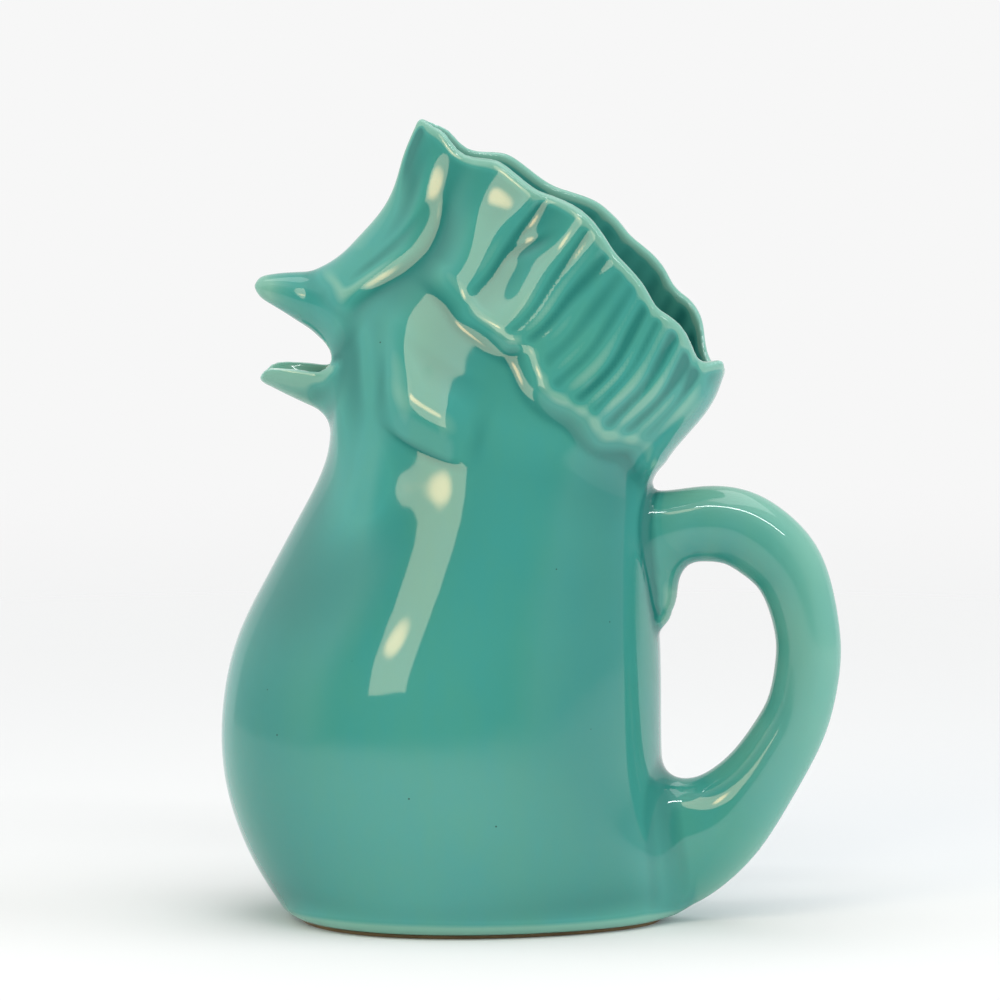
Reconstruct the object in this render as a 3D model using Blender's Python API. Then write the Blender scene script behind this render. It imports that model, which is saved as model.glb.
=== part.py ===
"""Rooster-shaped jug in glazed ceramic, as the cast and luted pieces that make it up."""

import math

import bmesh
import bpy
import numpy as np

# Sizes are in millimetres; MM turns them into the scene's metres.
# X runs from the beak to the handle, Z is up and the mid-plane is Y = 0.
MM = 0.001

# Overall sizes: from the front of the belly to the back of the handle, across the belly, and from
# the table to the top of the comb.
LENGTH = 184.9
WIDTH = 106.0
HEIGHT = 239.2

# The outlines below are drawn for a jug of 184.9 x 106 x 239.2 mm; these fit them to the sizes above.
LONG = LENGTH / 184.9
WIDE = WIDTH / 106.0
TALL = HEIGHT / 239.2

# The foot is a bare clay ring under the glazed body.
FOOT_HEIGHT = 1.4
FOOT_INSET = 3.0
FOOT_WIDTH = 7.0

# Walls, and the slip joint left between two pieces.
WALL = 4.5
FLOOR = 5.0
COMB_WALL = 3.8
JOINT = 0.3

# The comb stands proud of the head and carries upright flutes.
COMB_PROUD = 2.6
FLUTE_DEPTH = 1.3

# The pouring hole goes through the front of the head, between the two halves of the beak.
MOUTH_HEIGHT = 11.0
MOUTH_WIDTH = 14.0

# The lower half of the beak is a channel with thin sides.
BEAK_WIDTH = 19.0
TROUGH_LIP = 2.0
TROUGH_DEPTH = 5.5

# The handle is a round strap in the mid-plane, with a thumb of clay pressed down its upper root.
HANDLE_THICK = 20.4
HANDLE_WIDTH = 19.0

# Wattles and ear lobes are flat lobes pressed on the head.
# Each has a length, a width and a thickness.
WATTLE = (38.0, 13.0, 2.2)
EAR_LOBE = (25.0, 13.0, 2.2)

BASE_Z = FOOT_HEIGHT + JOINT

# Sections of the body and comb, each a slanted oval: its front point, its back point, half its width,
# how much it widens to the back, and how square its ends are.
SECTIONS = (
    ((-45.4, BASE_Z / TALL), (69.0, BASE_Z / TALL), 45.2, -0.20, 2.0),
    ((-55.8, 17.0), (70.6, 17.0), 49.5, -0.10, 2.0),
    ((-63.2, 36.0), (67.2, 35.0), 52.5, -0.02, 2.0),
    ((-65.3, 57.0), (65.6, 53.2), 53.0, 0.0, 2.0),
    ((-61.6, 80.0), (65.5, 71.2), 51.5, 0.0, 2.0),
    ((-52.8, 99.6), (65.0, 87.8), 48.0, 0.02, 2.0),
    ((-42.0, 119.8), (64.4, 102.0), 43.0, 0.05, 2.0),
    ((-33.6, 138.8), (63.6, 116.0), 38.0, 0.08, 2.1),
    ((-33.2, 157.0), (62.8, 127.5), 34.5, 0.12, 2.2),
    ((-33.4, 175.5), (64.4, 136.5), 32.0, 0.18, 2.3),
    ((-31.4, 192.0), (70.4, 145.0), 28.0, 0.26, 2.5),
    ((-16.8, 210.0), (77.2, 152.3), 23.5, 0.40, 2.8),
    ((-11.3, 226.0), (81.8, 158.5), 20.0, 0.52, 3.1),
    ((-6.9, 238.4), (84.6, 164.8), 18.0, 0.58, 3.4),
    ((-1.5, 252.0), (88.0, 172.0), 17.0, 0.6, 3.4),
)

# Lower edge and rim of the comb: place along the section (-1 front, 1 back) and section number.
COMB_EDGE = (
    (-1.0, 9.9),
    (-0.86, 9.78),
    (-0.7, 10.31),
    (-0.58, 10.6),
    (-0.41, 10.58),
    (-0.2, 10.4),
    (0.06, 10.36),
    (0.26, 9.89),
    (0.46, 9.72),
    (0.7, 9.33),
    (0.86, 9.3),
    (1.0, 8.61),
)
COMB_RIM = (
    (-1.0, 13.06),
    (-0.84, 13.18),
    (-0.7, 13.14),
    (-0.52, 13.54),
    (-0.28, 13.74),
    (-0.04, 14.14),
    (0.1, 14.2),
    (0.3, 14.0),
    (0.5, 13.82),
    (0.66, 13.7),
    (0.8, 13.36),
    (0.9, 13.04),
    (1.0, 13.16),
)
RIM_WAVE = 0.07

# Grooves between the flutes, as shares of the comb's length from the front: wide lobes first, then even ribs.
GROOVES = (0.155, 0.35, 0.435, 0.52, 0.585, 0.65, 0.715, 0.775, 0.835, 0.89, 0.945)

# Beak outlines from the head to the tip: place, top, bottom and share of the full width.
UPPER_BEAK = (
    (-24.4, 193.0, 170.0, 1.0),
    (-32.4, 192.7, 173.0, 0.96),
    (-40.4, 192.2, 177.3, 0.82),
    (-46.4, 191.8, 180.8, 0.66),
    (-51.4, 191.2, 183.4, 0.5),
    (-55.2, 189.9, 185.3, 0.3),
)
LOWER_BEAK = (
    (-24.5, 163.8, 147.5, 1.0),
    (-33.5, 163.8, 151.4, 0.98),
    (-39.5, 163.8, 153.8, 0.9),
    (-45.5, 163.7, 156.4, 0.76),
    (-50.5, 163.4, 158.6, 0.58),
    (-54.3, 162.8, 160.4, 0.34),
)

# Middle line of the handle, from the upper root to the lower one, with thickness and width as shares.
HANDLE_BACK = 119.6
HANDLE_LINE = (
    (55.6, 114.2, 1.8, 1.25),
    (63.0, 115.6, 1.4, 1.12),
    (71.4, 118.0, 1.12, 1.04),
    (79.0, 119.2, 1.1, 1.0),
    (88.0, 118.4, 1.12, 1.0),
    (96.2, 114.0, 1.11, 1.0),
    (102.8, 107.6, 1.06, 1.0),
    (107.0, 98.7, 0.99, 1.0),
    (109.7, 88.0, 0.945, 1.0),
    (HANDLE_BACK - 0.95 * HANDLE_THICK / LONG / 2, 78.0, 0.95, 1.0),
    (107.4, 65.5, 0.96, 1.0),
    (102.8, 55.2, 1.02, 1.02),
    (96.0, 44.4, 1.11, 1.05),
    (88.0, 34.8, 1.33, 1.1),
    (80.0, 28.6, 1.62, 1.18),
    (71.0, 24.8, 1.95, 1.25),
    (62.0, 23.3, 2.15, 1.32),
    (52.0, 22.5, 2.15, 1.35),
)

# The thumb of clay: places down the upper root, with its depth and width as shares of the handle's.
THUMB_LINE = (
    (60.0, 116.0, 0.69, 0.8),
    (63.4, 108.0, 0.69, 0.8),
    (64.6, 101.0, 0.62, 0.75),
    (64.7, 96.0, 0.54, 0.64),
    (64.5, 91.0, 0.2, 0.3),
)

# Height of the pouring hole, and where the belly's axis stands when the whole jug is centred.
MOUTH_Z = 166.7 * TALL
AXIS_X = (65.3 - HANDLE_BACK) * LONG / 2

SIDES = (("left", -1.0), ("right", 1.0))


def natural_spline(values, at):
    """Smooth curve through evenly spaced values; `at` counts from 0 at the first value."""
    values = np.asarray(values, float)
    count = len(values)
    matrix = np.eye(count)
    rhs = np.zeros_like(values)
    for i in range(1, count - 1):
        matrix[i, i - 1 : i + 2] = (1.0, 4.0, 1.0)
        rhs[i] = 6.0 * (values[i - 1] - 2.0 * values[i] + values[i + 1])
    bend = np.linalg.solve(matrix, rhs)
    at = np.asarray(at, float)
    i = np.clip(np.floor(at).astype(int), 0, count - 2)
    t = at - i
    r = 1.0 - t
    if values.ndim > 1:
        t = t[..., None]
        r = r[..., None]
    line = values[i] * r + values[i + 1] * t
    return line + (bend[i] * (r**3 - r) + bend[i + 1] * (t**3 - t)) / 6.0


DRAWN = np.array([(*front, *back, *rest) for front, back, *rest in SECTIONS])
SECTION_TABLE = DRAWN * (LONG, TALL, LONG, TALL, WIDE, 1.0, 1.0)


def curve(table, at):
    """Height of the smooth line through the table's (place, height) points."""
    line = natural_spline(np.array(table), np.linspace(0, len(table) - 1, 200))
    return np.interp(at, line[:, 0], line[:, 1])


def vessel(s, xi, side, grow=0.0, proud=0.0):
    """Points of the body and comb at section s, place xi (-1 front, 1 back) and side of the mid-plane.

    grow widens the whole section; proud moves the points out from it.
    """
    s, xi, side, proud = np.broadcast_arrays(*np.atleast_1d(s, xi, side, proud))
    row = natural_spline(SECTION_TABLE, s)
    front = row[:, 0:2]
    back = row[:, 2:4]
    power = row[:, 6]
    half = np.linalg.norm(back - front, axis=1) / 2
    along = (back - front) / (2 * half[:, None])
    width = row[:, 4] * (1 + row[:, 5] * xi)
    bow = np.sqrt(np.maximum(1 - np.abs(xi) ** power, 0.0))
    slope_x = np.abs(xi) ** (power - 1) * np.sign(xi) * width
    slope_y = bow * half
    slope = np.hypot(slope_x, slope_y)
    place = (half + grow) * xi + slope_x / slope * proud
    across = (width + grow) * bow + slope_y / slope * proud
    flat = (front + back) / 2 + along * place[:, None]
    return np.stack([flat[:, 0], side * across, flat[:, 1]], axis=1)


def places():
    """Places along one side of the body and comb, close enough to follow each flute."""
    marks = (0.0, *GROOVES, 1.0)
    shares = [0.0]
    for start, end in zip(marks, marks[1:]):
        pieces = 6 if end - start > 0.1 else 3
        shares.extend(start + (end - start) * (i + 1) / pieces for i in range(pieces))
    fine = np.array(shares) * 2 - 1
    front = -np.cos(np.linspace(0.1, 0.3, 3))
    back = np.cos(np.linspace(0.1, 0.3, 3))
    return np.unique(np.round(np.concatenate([fine, front, back]), 5))


def around():
    """A closed run of places and sides, from the front along -Y to the back and home along +Y."""
    there = places()
    xi = np.concatenate([there, there[-2:0:-1]])
    side = np.concatenate([-np.ones(len(there)), np.ones(len(there) - 2)])
    return xi, side


def step(s, xi, side):
    """Length in millimetres of one section step at this place."""
    return np.linalg.norm(vessel(s + 0.05, xi, side) - vessel(s - 0.05, xi, side), axis=1) / 0.1


def flutes(xi):
    """Relief of the comb: 0 on the crest of a flute, down to -FLUTE_DEPTH in a groove."""
    share = (xi + 1) / 2
    count = np.interp(share, (0.0, *GROOVES, 1.0), (0.0, *(np.arange(len(GROOVES)) + 0.5), len(GROOVES)))
    return FLUTE_DEPTH * (np.abs(np.cos(math.pi * count)) - 1)


def glaze(name, colour, roughness):
    """A Principled material."""
    material = bpy.data.materials.new(name)
    material.use_nodes = True
    shader = material.node_tree.nodes["Principled BSDF"]
    shader.inputs["Base Color"].default_value = (*colour, 1.0)
    shader.inputs["Roughness"].default_value = roughness
    shader.inputs["Metallic"].default_value = 0.0
    return material


def solid(name, rings, material, wrap=False):
    """A closed mesh through rings of points, with flat ends unless the last ring joins the first."""
    rings = [np.asarray(ring) + (AXIS_X, 0.0, 0.0) for ring in rings]
    work = bmesh.new()
    rows = [[work.verts.new(point * MM) for point in ring] for ring in rings]
    pairs = list(zip(rows, rows[1:]))
    if wrap:
        pairs.append((rows[-1], rows[0]))
    else:
        work.faces.new(rows[0])
        work.faces.new(rows[-1])
    for lower, upper in pairs:
        for i in range(len(lower)):
            work.faces.new((lower[i - 1], lower[i], upper[i]))
            work.faces.new((lower[i - 1], upper[i], upper[i - 1]))
    bmesh.ops.recalc_face_normals(work, faces=work.faces)
    mesh = bpy.data.meshes.new(name)
    work.to_mesh(mesh)
    work.free()
    mesh.materials.append(material)
    mesh.shade_smooth()
    mesh.set_sharp_from_angle(angle=math.radians(50))
    made = bpy.data.objects.new(name, mesh)
    bpy.context.scene.collection.objects.link(made)
    return made


def cut(target, cutters):
    """Takes the cutters away from the target."""
    for cutter in cutters:
        cutter.hide_render = True
        cutter.display_type = "WIRE"
        modifier = target.modifiers.new("cut", "BOOLEAN")
        modifier.operation = "DIFFERENCE"
        modifier.solver = "EXACT"
        modifier.object = cutter


def join(target, added):
    """Makes the added solid part of the target."""
    added.hide_render = True
    added.display_type = "WIRE"
    modifier = target.modifiers.new("join", "BOOLEAN")
    modifier.operation = "UNION"
    modifier.solver = "EXACT"
    modifier.object = added


def body_rings(grow, first, count, xi, side, top):
    """Rings of the body from section `first` up to the run of sections `top`."""
    level = 8.0
    shares = np.linspace(0, 1, count)
    rings = [vessel(first + (level - first) * share, xi, side, grow) for share in shares]
    for share in (0.35, 0.7, 1.0):
        rings.append(vessel(level + (top - level) * share, xi, side, grow))
    return rings


def floor_section():
    """Section number at which the inside of the body meets its floor."""
    s = np.linspace(0, 2, 400)
    heights = vessel(s, -0.999, 1.0)[:, 2]
    return float(np.interp(BASE_Z + FLOOR, heights, s))


def make_body(teal):
    xi, side = around()
    top = curve(COMB_EDGE, xi)
    top = top - JOINT / 2 / step(top, xi, side)
    outer = body_rings(0.0, 0.0, 13, xi, side, top)
    inner = body_rings(-WALL, floor_section(), 10, xi, side, top)
    body = solid("body_shell", outer + inner[::-1], teal)
    turn = np.linspace(0, 2 * math.pi, 24, endpoint=False)
    across = np.cos(turn) * MOUTH_WIDTH / 2
    height = np.sin(turn) * MOUTH_HEIGHT / 2 + MOUTH_Z
    rings = [np.stack([np.full(24, x), across, height], axis=1) for x in (-0.32 * LENGTH, -0.065 * LENGTH)]
    mouth = solid("mouth_cutter", rings, teal)
    cut(body, [mouth])
    return body


def comb_rings(xi, side, edge_grow, rim_grow, proud, relief):
    """Rings of one face of the comb, from its lower edge to its rim."""
    start = curve(COMB_EDGE, xi)
    start = start + JOINT / 2 / step(start, xi, side)
    end = curve(COMB_RIM, xi) + RIM_WAVE * relief / FLUTE_DEPTH
    return [
        vessel(
            start + (end - start) * share,
            xi,
            side,
            edge_grow + (rim_grow - edge_grow) * share,
            proud * (1 - share) + relief,
        )
        for share in (0.0, 0.06, 0.25, 0.5, 0.75, 1.0)
    ]


def make_comb(teal):
    xi, side = around()
    relief = flutes(xi)
    outer = comb_rings(xi, side, 0.0, 0.0, 0.0, 0.0 * xi)[:1]
    outer = outer + comb_rings(xi, side, 0.0, 0.0, COMB_PROUD, relief)
    inner = comb_rings(xi, side, -WALL, -COMB_WALL, 0.0, 0.0 * xi)
    return solid("comb_collar", inner + outer[::-1], teal, wrap=True)


def make_seats(teal):
    """Solids a joint larger than the body and the comb, which shape the roots of what is luted on."""
    xi, side = around()
    rings = body_rings(JOINT, 0.0, 13, xi, side, curve(COMB_EDGE, xi))
    body = solid("body_seat", [*rings, vessel(11.2, xi, side, JOINT)], teal)
    rings = comb_rings(xi, side, JOINT, JOINT, COMB_PROUD, 0.0 * xi)
    under = vessel(curve(COMB_EDGE, xi) - 0.02, xi, side, JOINT, COMB_PROUD)
    ends = [vessel(8.2, xi, side, -0.14 * WIDTH), vessel(14.45, xi, side, -0.057 * WIDTH)]
    comb = solid("comb_seat", [ends[0], under, *rings, ends[1]], teal)
    return [body, comb]


def beak_ring(x, top, bottom, width, dish):
    """A cross-section of a beak half, hollowed from above by `dish`."""
    turn = np.linspace(0, 2 * math.pi, 20, endpoint=False)
    across = np.cos(turn)
    up = np.sin(turn)
    middle = (top + bottom) / 2
    if not dish:
        return np.stack([np.full(20, x), across * width / 2, middle + up * (top - bottom) / 2], axis=1)
    lip = max(width / 2 - TROUGH_LIP, width / 4)
    y = np.where(up >= 0, across * lip, across * width / 2)
    z = np.where(up >= 0, top - up * dish, top + up * (top - bottom))
    return np.stack([np.full(20, x), y, z], axis=1)


def make_beak(name, outline, dish, teal, seats):
    rows = natural_spline(np.array(outline), np.linspace(0, len(outline) - 1, 11))
    rings = []
    for x, top, bottom, share in rows * (LONG, TALL, TALL, BEAK_WIDTH):
        hollow = min(dish, (top - bottom) * 0.45)
        rings.append(beak_ring(x, top, bottom, share, hollow))
    beak = solid(name, rings, teal)
    cut(beak, seats)
    return beak


def make_lobe(name, side, centre, tilt, size, teal, seats):
    """A domed lobe pressed on the body, a joint away from it."""
    length, width, thick = size
    s0, xi0 = centre
    origin = vessel(s0, xi0, side)[0]
    per_s = (vessel(s0 + 0.02, xi0, side)[0] - origin) / 0.02
    per_xi = (vessel(s0, xi0 + 0.01, side)[0] - origin) / 0.01
    turn = np.linspace(0, 2 * math.pi, 20, endpoint=False)
    rings = []
    for reach, lift in ((0.4, -0.6), (1.0, -0.6), (1.0, 0.2), (0.86, 0.5), (0.6, 0.8), (0.3, 0.97)):
        down = np.cos(turn) * reach * length / 2
        over = np.sin(turn) * reach * width / 2
        a = (down * math.cos(tilt) - over * math.sin(tilt)) / np.linalg.norm(per_s)
        b = (down * math.sin(tilt) + over * math.cos(tilt)) / np.linalg.norm(per_xi)
        height = JOINT + thick * lift
        rings.append(vessel(s0 - a, np.clip(xi0 + b, -0.99, 0.99), side, 0.0, height))
    lobe = solid(name, rings, teal)
    cut(lobe, seats)
    return lobe


def tube_rings(path, thick, width, count):
    """Oval rings along a line in the mid-plane, whose last two columns are shares of thick and width."""
    line = natural_spline(np.array(path), np.linspace(0, len(path) - 1, count)) * (LONG, TALL, 1.0, 1.0)
    turn = np.linspace(0, 2 * math.pi, 20, endpoint=False)
    rings = []
    for i in range(len(line)):
        x, z, tall, wide = line[i]
        ahead = line[min(i + 1, len(line) - 1), :2] - line[max(i - 1, 0), :2]
        ahead = ahead / np.linalg.norm(ahead)
        up = np.sin(turn) * tall * thick / 2
        over = np.cos(turn) * wide * width / 2
        rings.append(np.stack([x - ahead[1] * up, over, z + ahead[0] * up], axis=1))
    return rings


def make_handle(teal, seats):
    handle = solid("handle", tube_rings(HANDLE_LINE, HANDLE_THICK, HANDLE_WIDTH, 46), teal)
    thumb = solid("thumb_clay", tube_rings(THUMB_LINE, HANDLE_THICK, HANDLE_WIDTH, 10), teal)
    join(handle, thumb)
    corners = ((-LENGTH, -WIDTH), (LENGTH, -WIDTH), (LENGTH, WIDTH), (-LENGTH, WIDTH))
    box = [np.array([(*corner, z) for corner in corners]) for z in (-HEIGHT / 4, BASE_Z)]
    cut(handle, [*seats, solid("table_cutter", box, teal)])
    return handle


def make_foot(clay):
    xi, side = around()
    outer = vessel(0.0, xi, side, -FOOT_INSET)
    inner = vessel(0.0, xi, side, -FOOT_INSET - FOOT_WIDTH)
    rings = []
    for ring, z in ((outer, 0.0), (outer, FOOT_HEIGHT), (inner, FOOT_HEIGHT), (inner, 0.0)):
        rings.append(np.column_stack([ring[:, :2], np.full(len(ring), z)]))
    return solid("foot_ring", rings, clay, wrap=True)


def main():
    for old in list(bpy.data.objects):
        bpy.data.objects.remove(old)
    teal = glaze("teal_glaze", (0.055, 0.27, 0.28), 0.08)
    clay = glaze("bare_clay", (0.45, 0.36, 0.24), 0.7)
    seats = make_seats(teal)
    make_foot(clay)
    make_body(teal)
    make_comb(teal)
    make_beak("upper_beak", UPPER_BEAK, 0.0, teal, seats)
    make_beak("lower_beak", LOWER_BEAK, TROUGH_DEPTH, teal, seats)
    for word, side in SIDES:
        make_lobe(f"wattle_{word}", side, (7.02, -0.80), 0.56, WATTLE, teal, seats[:1])
        make_lobe(f"ear_lobe_{word}", side, (8.22, -0.43), 1.2, EAR_LOBE, teal, seats[:1])
    make_handle(teal, seats)
    for seat in seats:
        seat.hide_render = True
        seat.display_type = "WIRE"


main()
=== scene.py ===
import math
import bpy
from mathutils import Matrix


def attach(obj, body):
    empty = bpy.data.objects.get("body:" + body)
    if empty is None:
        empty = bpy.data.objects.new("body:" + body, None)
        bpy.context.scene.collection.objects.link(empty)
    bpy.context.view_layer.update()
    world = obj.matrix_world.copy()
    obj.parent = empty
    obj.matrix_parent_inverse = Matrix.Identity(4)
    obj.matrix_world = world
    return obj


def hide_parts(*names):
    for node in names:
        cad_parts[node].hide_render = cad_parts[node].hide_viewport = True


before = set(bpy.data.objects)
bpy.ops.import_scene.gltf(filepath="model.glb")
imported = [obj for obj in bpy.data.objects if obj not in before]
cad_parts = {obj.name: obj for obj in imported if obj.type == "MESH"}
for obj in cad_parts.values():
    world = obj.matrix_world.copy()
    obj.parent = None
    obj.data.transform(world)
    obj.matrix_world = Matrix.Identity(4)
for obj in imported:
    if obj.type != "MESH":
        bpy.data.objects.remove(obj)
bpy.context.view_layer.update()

from types import SimpleNamespace

import bpy
import numpy as np
from mathutils import Vector

bl_info = {
    "name": "Rooster jug",
    "version": (1, 0, 0),
    "blender": (4, 5, 0),
    "location": "View3D > Sidebar > Rooster jug",
    "description": "Builds a rooster-shaped jug in turquoise glaze with its stage and camera",
    "category": "Add Mesh",
}

# Shapes are worked out in millimetres from the belly's axis; MM and AXIS_X bring them into the frame.
# X runs from the beak to the handle, Z is up and the mid-plane is Y = 0.
MM = 0.001
AXIS_X = -27.15

# Sections of the body and comb, each a slanted oval: front point, back point, half its width,
# how much it widens to the back, and how square its ends are.
SECTIONS = np.array(
    [
        (-45.4, 1.2, 69.0, 1.2, 45.2, -0.20, 2.0),
        (-55.8, 17.0, 70.6, 17.0, 49.5, -0.10, 2.0),
        (-63.2, 36.0, 67.2, 35.0, 52.5, -0.02, 2.0),
        (-65.3, 57.0, 65.6, 53.2, 53.0, 0.0, 2.0),
        (-61.6, 80.0, 65.5, 71.2, 51.5, 0.0, 2.0),
        (-52.8, 99.6, 65.0, 87.8, 48.0, 0.02, 2.0),
        (-42.0, 119.8, 64.4, 102.0, 43.0, 0.05, 2.0),
        (-33.6, 138.8, 63.6, 116.0, 38.0, 0.08, 2.1),
        (-33.2, 157.0, 62.8, 127.5, 34.5, 0.12, 2.2),
        (-33.4, 175.5, 64.4, 136.5, 32.0, 0.18, 2.3),
        (-31.4, 192.0, 70.4, 145.0, 28.0, 0.26, 2.5),
        (-16.8, 210.0, 77.2, 152.3, 23.5, 0.40, 2.8),
        (-11.3, 226.0, 81.8, 158.5, 20.0, 0.52, 3.1),
        (-6.9, 238.4, 84.6, 164.8, 18.0, 0.58, 3.4),
        (-1.5, 252.0, 88.0, 172.0, 17.0, 0.6, 3.4),
    ]
)

# Lower edge and rim of the comb: place along the section (-1 front, 1 back) and section number.
COMB_EDGE = (
    (-1.0, 9.74), (-0.93, 9.66), (-0.86, 9.74), (-0.79, 10.1), (-0.72, 10.5),
    (-0.62, 10.7), (-0.41, 10.6), (-0.29, 10.46), (-0.15, 10.4), (-0.02, 10.36),
    (0.06, 10.37), (0.16, 10.16), (0.26, 9.89), (0.38, 9.74), (0.51, 9.69),
    (0.62, 9.46), (0.71, 9.32), (0.81, 9.39), (0.89, 9.28), (1.0, 8.61),
)
COMB_RIM = (
    (-1.0, 13.06), (-0.9, 13.14), (-0.82, 13.19), (-0.7, 13.14), (-0.56, 13.48),
    (-0.45, 13.65), (-0.29, 13.72), (-0.18, 13.89), (-0.04, 14.14), (0.07, 14.2),
    (0.17, 14.11), (0.25, 13.99), (0.36, 13.95), (0.47, 13.84), (0.56, 13.64),
    (0.65, 13.68), (0.73, 13.64), (0.8, 13.4), (0.87, 13.04), (0.93, 13.02),
    (1.0, 13.18),
)

# Groove between the two broad flutes: place at the lower edge from the front as a share of the comb,
# how far it leans back on the way to the rim, depth, and half widths before and after its middle.
BROAD_GROOVE = (0.325, 0.085, 1.15, 0.02, 0.055)

# The other grooves: place, lean, depth at the edge and at the rim, and half width. The first is the
# hollow of the front flute. The second, with a depth below 0, is the swell of the second broad flute.
GROOVES = (
    (0.095, 0.063, 0.8, 0.8, 0.040),
    (0.455, 0.070, -1.2, -1.2, 0.060),
    (0.470, 0.075, 0.45, 0.4, 0.014),
    (0.518, 0.100, 0.6, 0.45, 0.016),
    (0.590, 0.080, 0.45, 0.25, 0.018),
    (0.655, 0.055, 0.4, 0.3, 0.016),
    (0.735, 0.025, 0.75, 0.65, 0.017),
    (0.782, 0.020, 0.4, 0.4, 0.013),
    (0.838, 0.020, 0.7, 0.6, 0.016),
    (0.890, 0.020, 0.75, 0.75, 0.014),
    (0.940, 0.000, 0.6, 0.6, 0.012),
)

# A short crease that branches off: place, lean, depth, half width, and its share of the way up.
FORK = (0.25, 0.26, 0.3, 0.014, 0.6, 0.1)

# Beak outlines from the head to the tip: distance from the tip, top, bottom and share of the width.
UPPER_BEAK = np.array(
    [
        (40.0, 193.2, 166.4, 1.0),
        (31.0, 193.0, 169.2, 1.0),
        (23.0, 192.7, 172.1, 0.96),
        (15.0, 192.2, 176.3, 0.82),
        (9.0, 191.8, 180.0, 0.66),
        (4.0, 191.1, 182.9, 0.52),
        (0.0, 190.2, 185.4, 0.38),
    ]
)
LOWER_BEAK = np.array(
    [
        (40.0, 162.8, 142.0, 1.0),
        (30.0, 163.0, 146.6, 1.0),
        (21.0, 163.4, 150.3, 1.0),
        (15.0, 164.0, 152.8, 0.96),
        (9.0, 164.6, 155.5, 0.88),
        (4.0, 165.2, 157.9, 0.77),
        (0.0, 165.6, 159.6, 0.64),
    ]
)
UPPER_BEAK_TIP = 55.6
LOWER_BEAK_TIP = 54.9
BEAK_LENGTH = 40.0

# Middle line of the handle from the upper root to the lower one, with thickness and width as shares.
HANDLE_LINE = np.array(
    [
        (55.6, 114.2, 1.8, 1.25),
        (63.0, 115.6, 1.4, 1.12),
        (71.4, 118.0, 1.12, 1.04),
        (79.0, 119.2, 1.1, 1.0),
        (88.0, 118.4, 1.12, 1.0),
        (96.2, 114.0, 1.11, 1.0),
        (102.8, 107.6, 1.06, 1.0),
        (107.0, 98.7, 0.99, 1.0),
        (109.4, 88.0, 0.945, 1.0),
        (109.6, 78.0, 0.95, 1.0),
        (107.3, 65.5, 0.96, 1.0),
        (102.8, 55.2, 1.02, 1.02),
        (96.0, 44.4, 1.11, 1.05),
        (88.0, 34.8, 1.33, 1.1),
        (80.0, 28.6, 1.62, 1.18),
        (71.0, 24.8, 1.95, 1.25),
        (62.0, 23.3, 2.15, 1.32),
        (52.0, 22.5, 2.15, 1.35),
    ]
)

# The thumb of clay pressed down the upper root: places, with its depth and width as shares.
THUMB_LINE = np.array(
    [
        (60.0, 116.0, 0.69, 0.8),
        (63.4, 108.0, 0.69, 0.8),
        (64.6, 101.0, 0.62, 0.75),
        (64.7, 96.0, 0.54, 0.64),
        (64.5, 93.0, 0.44, 0.52),
    ]
)

# Lobes on the head: section number, place along it, tilt, length, width, thickness.
WATTLE = (7.2, -0.84, 0.35, 58.0, 25.0, 1.1)
EAR_LOBE = (8.0, -0.31, 1.45, 30.0, 7.5, 2.0)

# Soft swells of the brow, cheek, jaw and throat, each given in the same way.
SWELLS = (
    (10.0, -0.62, 1.4, 30.0, 16.0, 0.2),
    (8.8, -0.68, 0.1, 44.0, 14.0, 0.6),
    (9.1, -0.48, 0.0, 64.0, 25.0, 1.2),
    (7.0, -0.62, 0.1, 40.0, 26.0, 2.2),
)

# Fillets where pieces meet, and rounding of edges.
UPPER_BEAK_FILLET = 8.0
LOWER_BEAK_FILLET = 6.0
UPPER_ROOT_FILLET = 3.0
LOWER_ROOT_FILLET = 7.0
THUMB_FILLET = 4.5
BEAK_TIP_ROUND = 3.4
TROUGH_ROUND = 1.6
MOUTH_ROUND = 2.0
INNER_ROUND = 1.0
FLOOR_ROUND = 8.0
RIM_ROUND = 2.2
BASE_ROUND = 3.2

# Where the beak, its trough and the pouring hole end inside the head.
HORN_END_X = -15.0
TROUGH_END_X = -20.0
MOUTH_END_X = -12.0
TROUGH_FROM_TIP = 3.0

# Bounds of the space that belongs to the beak halves and the handle.
BEAK_ROOT_X = -37.0
UPPER_BEAK_LOW_Z = 168.0
LOWER_BEAK_MIDDLE_Z = 154.0
LOWER_BEAK_REACH = 14.0
HANDLE_ROOT_X = 73.5
HANDLE_TOP_Z = 134.0

# Each piece runs on under its neighbours by a lap that starts to sink at this rate.
LAP = 3.0
LAP_SINK = 0.15

# The wall thins to the comb's thickness between these sections.
WALL_THINS = (9.5, 12.0)


def natural_spline(values, at):
    """Smooth curve through evenly spaced values; `at` counts from 0 at the first value."""
    values = np.asarray(values, float)
    count = len(values)
    matrix = np.eye(count)
    rhs = np.zeros_like(values)
    for i in range(1, count - 1):
        matrix[i, i - 1 : i + 2] = (1.0, 4.0, 1.0)
        rhs[i] = 6.0 * (values[i - 1] - 2.0 * values[i] + values[i + 1])
    bend = np.linalg.solve(matrix, rhs)
    at = np.asarray(at, float)
    i = np.clip(np.floor(at).astype(int), 0, count - 2)
    t = at - i
    r = 1.0 - t
    if values.ndim > 1:
        t = t[..., None]
        r = r[..., None]
    line = values[i] * r + values[i + 1] * t
    return line + (bend[i] * (r**3 - r) + bend[i + 1] * (t**3 - t)) / 6.0


LINE_POINTS = 1200
LINE_SOFTEN = 25


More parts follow.
